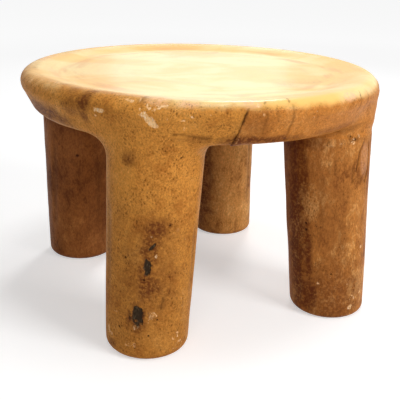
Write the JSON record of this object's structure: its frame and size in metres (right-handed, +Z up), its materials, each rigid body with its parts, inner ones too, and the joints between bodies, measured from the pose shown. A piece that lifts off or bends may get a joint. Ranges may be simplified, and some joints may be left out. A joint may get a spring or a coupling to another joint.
{
  "type": "drum table",
  "caption": "Low round table with a dished top on stout splayed legs, a wooden carcass covered all over in lapped and tacked rawhide.",
  "frame": {"origin": "on the floor, under the middle of the round top", "axes": "+Z up; -Y the front, where the hide's slanting seam is; +X to the right"},
  "size_m": [0.61, 0.6267, 0.4],
  "materials": {
    "carcass_wood": "adzed bare hardwood, dry and matte",
    "wedge_wood": "split darker hardwood, matte",
    "pale_hide": "shrunk amber rawhide, lacquered, semi-gloss, with dark pores and scuffs",
    "brown_hide": "shrunk reddish brown rawhide, lacquered, semi-gloss, mottled",
    "tack_iron": "blackened iron with a little rust"
  },
  "bodies": {
    "root": {"top_core": "carcass_wood", "leg_core_front": "carcass_wood", "leg_core_right": "carcass_wood", "leg_core_back": "carcass_wood", "leg_core_left": "carcass_wood", "tenon_wedge_front": "wedge_wood", "tenon_wedge_right": "wedge_wood", "tenon_wedge_back": "wedge_wood", "tenon_wedge_left": "wedge_wood", "top_skin": "pale_hide", "rim_band_skin": "brown_hide", "leg_skin_front": "pale_hide", "leg_skin_right": "brown_hide", "leg_skin_back": "brown_hide", "leg_skin_left": "brown_hide", "underside_tacks": "tack_iron", "foot_tacks_front": "tack_iron", "foot_tacks_right": "tack_iron", "foot_tacks_back": "tack_iron", "foot_tacks_left": "tack_iron"}
  },
  "joints": []
}
